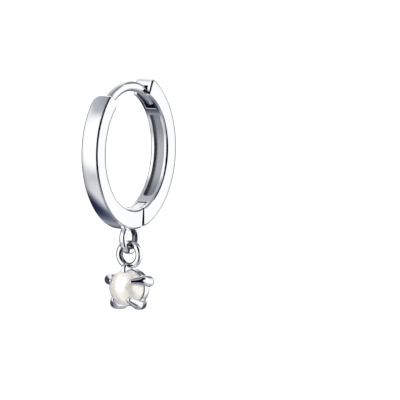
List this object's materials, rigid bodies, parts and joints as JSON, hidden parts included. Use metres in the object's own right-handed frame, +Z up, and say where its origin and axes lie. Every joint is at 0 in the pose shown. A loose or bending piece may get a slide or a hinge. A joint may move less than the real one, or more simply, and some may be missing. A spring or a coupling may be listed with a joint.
{
  "type": "hoop earring with pearl drop",
  "caption": "Hinged flat-band hoop earring with an ear post that enters a catch, and a pearl in a claw setting that hangs from a loop and ring.",
  "frame": {"origin": "middle of the ear post's wire at the top of its arc, where the ear carries the earring", "axes": "+Z up, +X along the hoop's axis, and -Y towards the front half of the hoop"},
  "size_m": [0.0046, 0.0142, 0.0209],
  "materials": {
    "hoop_silver": "polished silver",
    "pearl": "lustrous cream white pearl"
  },
  "bodies": {
    "front": {"front_hoop": "hoop_silver"},
    "back": {"back_hoop": "hoop_silver", "hinge_pin": "hoop_silver"},
    "drop": {"claw_setting": "hoop_silver", "pearl": "pearl"}
  },
  "joints": [
    {"name": "back_hinge", "type": "hinge", "parent": "front", "child": "back", "pos_m": [0, 0.0018, -0.01232], "axis": [-1, 0, 0], "range_deg": [0, 60]},
    {"name": "drop_swing", "type": "hinge", "parent": "front", "child": "drop", "pos_m": [0, 0.00015, -0.01503], "axis": [0, 1, 0], "range_deg": [-45, 45]}
  ]
}
